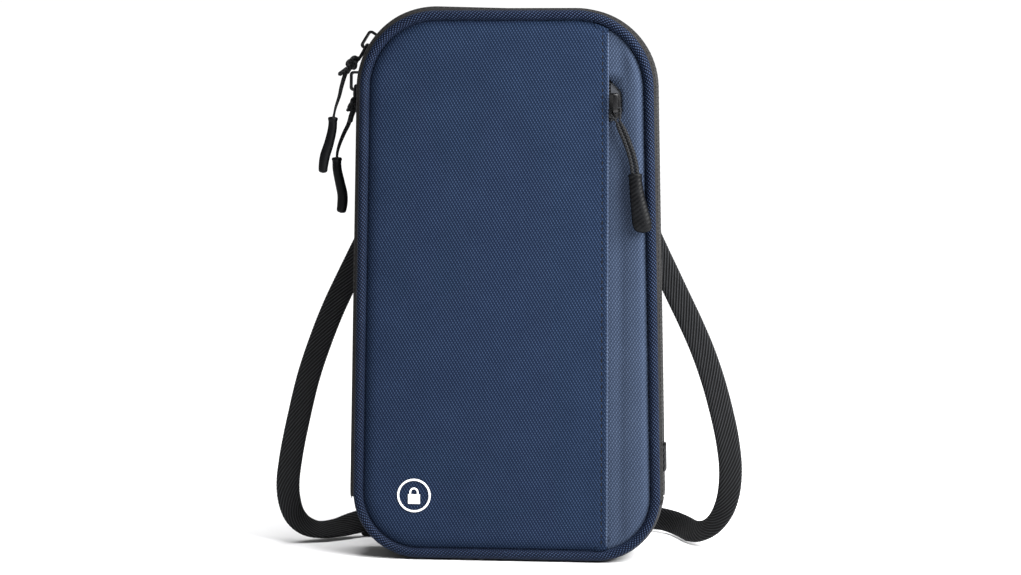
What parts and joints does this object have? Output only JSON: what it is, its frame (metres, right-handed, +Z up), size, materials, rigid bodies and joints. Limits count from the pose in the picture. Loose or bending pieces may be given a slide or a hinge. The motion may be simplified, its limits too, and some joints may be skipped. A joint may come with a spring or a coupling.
{
  "type": "neck pouch wallet",
  "caption": "Slim upright zip-round neck pouch with piped edges, a flapped front pocket, corded zip pulls and a webbing neck strap folded behind.",
  "frame": {"origin": "middle of the flat base that the pouch stands on", "axes": "+Z up through the pouch, -Y out of the front panel, +X to the right as seen from the front"},
  "size_m": [0.1992, 0.0834, 0.2287],
  "materials": {
    "navy_twill": "coated twill, semi-matt",
    "navy_strip": "coated twill, semi-matt",
    "navy_piping": "coated twill over a round core",
    "zip_tape": "woven herringbone tape, matt",
    "zip_teeth": "nylon coil, satin",
    "gusset_cloth": "woven, matt",
    "lining_cloth": "plain woven lining, matt",
    "foam_board": "closed-cell foam, matt",
    "rfid_foil": "metallised cloth",
    "webbing": "ribbed woven webbing, matt",
    "black_metal": "black enamel, satin",
    "black_plastic": "moulded, satin",
    "pull_cord": "braided cord, matt",
    "grip_rubber": "moulded, satin",
    "elastic": "knitted elastic, matt",
    "white_print": "screen print, matt"
  },
  "bodies": {
    "pouch_back": {"back_panel": "navy_twill", "back_foam_board": "foam_board", "back_rfid_foil": "rfid_foil", "back_lining": "lining_cloth", "back_piping": "navy_piping", "back_zip_tape": "zip_tape", "back_zip_teeth": "zip_teeth", "bottom_gusset": "gusset_cloth", "zip_end_tab_left": "gusset_cloth", "zip_end_tab_right": "gusset_cloth", "card_slot_lower": "lining_cloth", "card_slot_middle": "lining_cloth", "card_slot_upper": "lining_cloth", "pen_loop": "elastic", "strap_anchor_left": "webbing", "strap_anchor_right": "webbing", "strap_ring_left": "black_metal", "strap_ring_right": "black_metal", "strap_left": "webbing", "strap_right": "webbing", "strap_hank": "webbing", "hank_tie": "elastic", "strap_adjuster": "black_plastic"},
    "front_cover": {"front_panel": "navy_twill", "front_strip": "navy_strip", "front_foam_board": "foam_board", "front_rfid_foil": "rfid_foil", "front_lining": "lining_cloth", "front_piping": "navy_piping", "front_zip_tape": "zip_tape", "front_zip_teeth": "zip_teeth", "pocket_lining": "lining_cloth", "pocket_zip_tape": "zip_tape", "pocket_zip_teeth": "zip_teeth", "passport_sleeve": "lining_cloth", "padlock_mark": "white_print"},
    "lower_slider": {"lower_slider": "black_metal"},
    "lower_pull": {"lower_pull_cord": "pull_cord", "lower_pull_grip": "grip_rubber"},
    "upper_slider": {"upper_slider": "black_metal"},
    "upper_pull": {"upper_pull_cord": "pull_cord", "upper_pull_grip": "grip_rubber"},
    "pocket_slider": {"pocket_slider": "black_metal"},
    "pocket_pull": {"pocket_pull_cord": "pull_cord", "pocket_pull_grip": "grip_rubber"}
  },
  "joints": [
    {"name": "cover_hinge", "type": "hinge", "parent": "pouch_back", "child": "front_cover", "pos_m": [0, -0.0136, 0.0027], "axis": [1, 0, 0], "range_deg": [0, 85]},
    {"name": "lower_slider_travel", "type": "slide", "parent": "pouch_back", "child": "lower_slider", "axis": [-0.0209, 0, -0.9998], "range_m": [0, 0.143]},
    {"name": "lower_pull_swing", "type": "hinge", "parent": "lower_slider", "child": "lower_pull", "pos_m": [-0.06427, 0, 0.1965], "axis": [0, 1, 0], "range_deg": [0, 100]},
    {"name": "upper_slider_travel", "type": "hinge", "parent": "pouch_back", "child": "upper_slider", "pos_m": [-0.0283, 0, 0.1955], "axis": [0, 1, 0], "range_deg": [0, 57]},
    {"name": "upper_pull_swing", "type": "hinge", "parent": "upper_slider", "child": "upper_pull", "pos_m": [-0.05945, 0, 0.21349], "axis": [0, 1, 0], "range_deg": [0, 90]},
    {"name": "pocket_slider_travel", "type": "slide", "parent": "front_cover", "child": "pocket_slider", "axis": [0, 0, -1], "range_m": [0, 0.143]},
    {"name": "pocket_pull_swing", "type": "hinge", "parent": "pocket_slider", "child": "pocket_pull", "pos_m": [0.0452, -0.01565, 0.18775], "axis": [-1, 0, 0], "range_deg": [0, 100]}
  ]
}
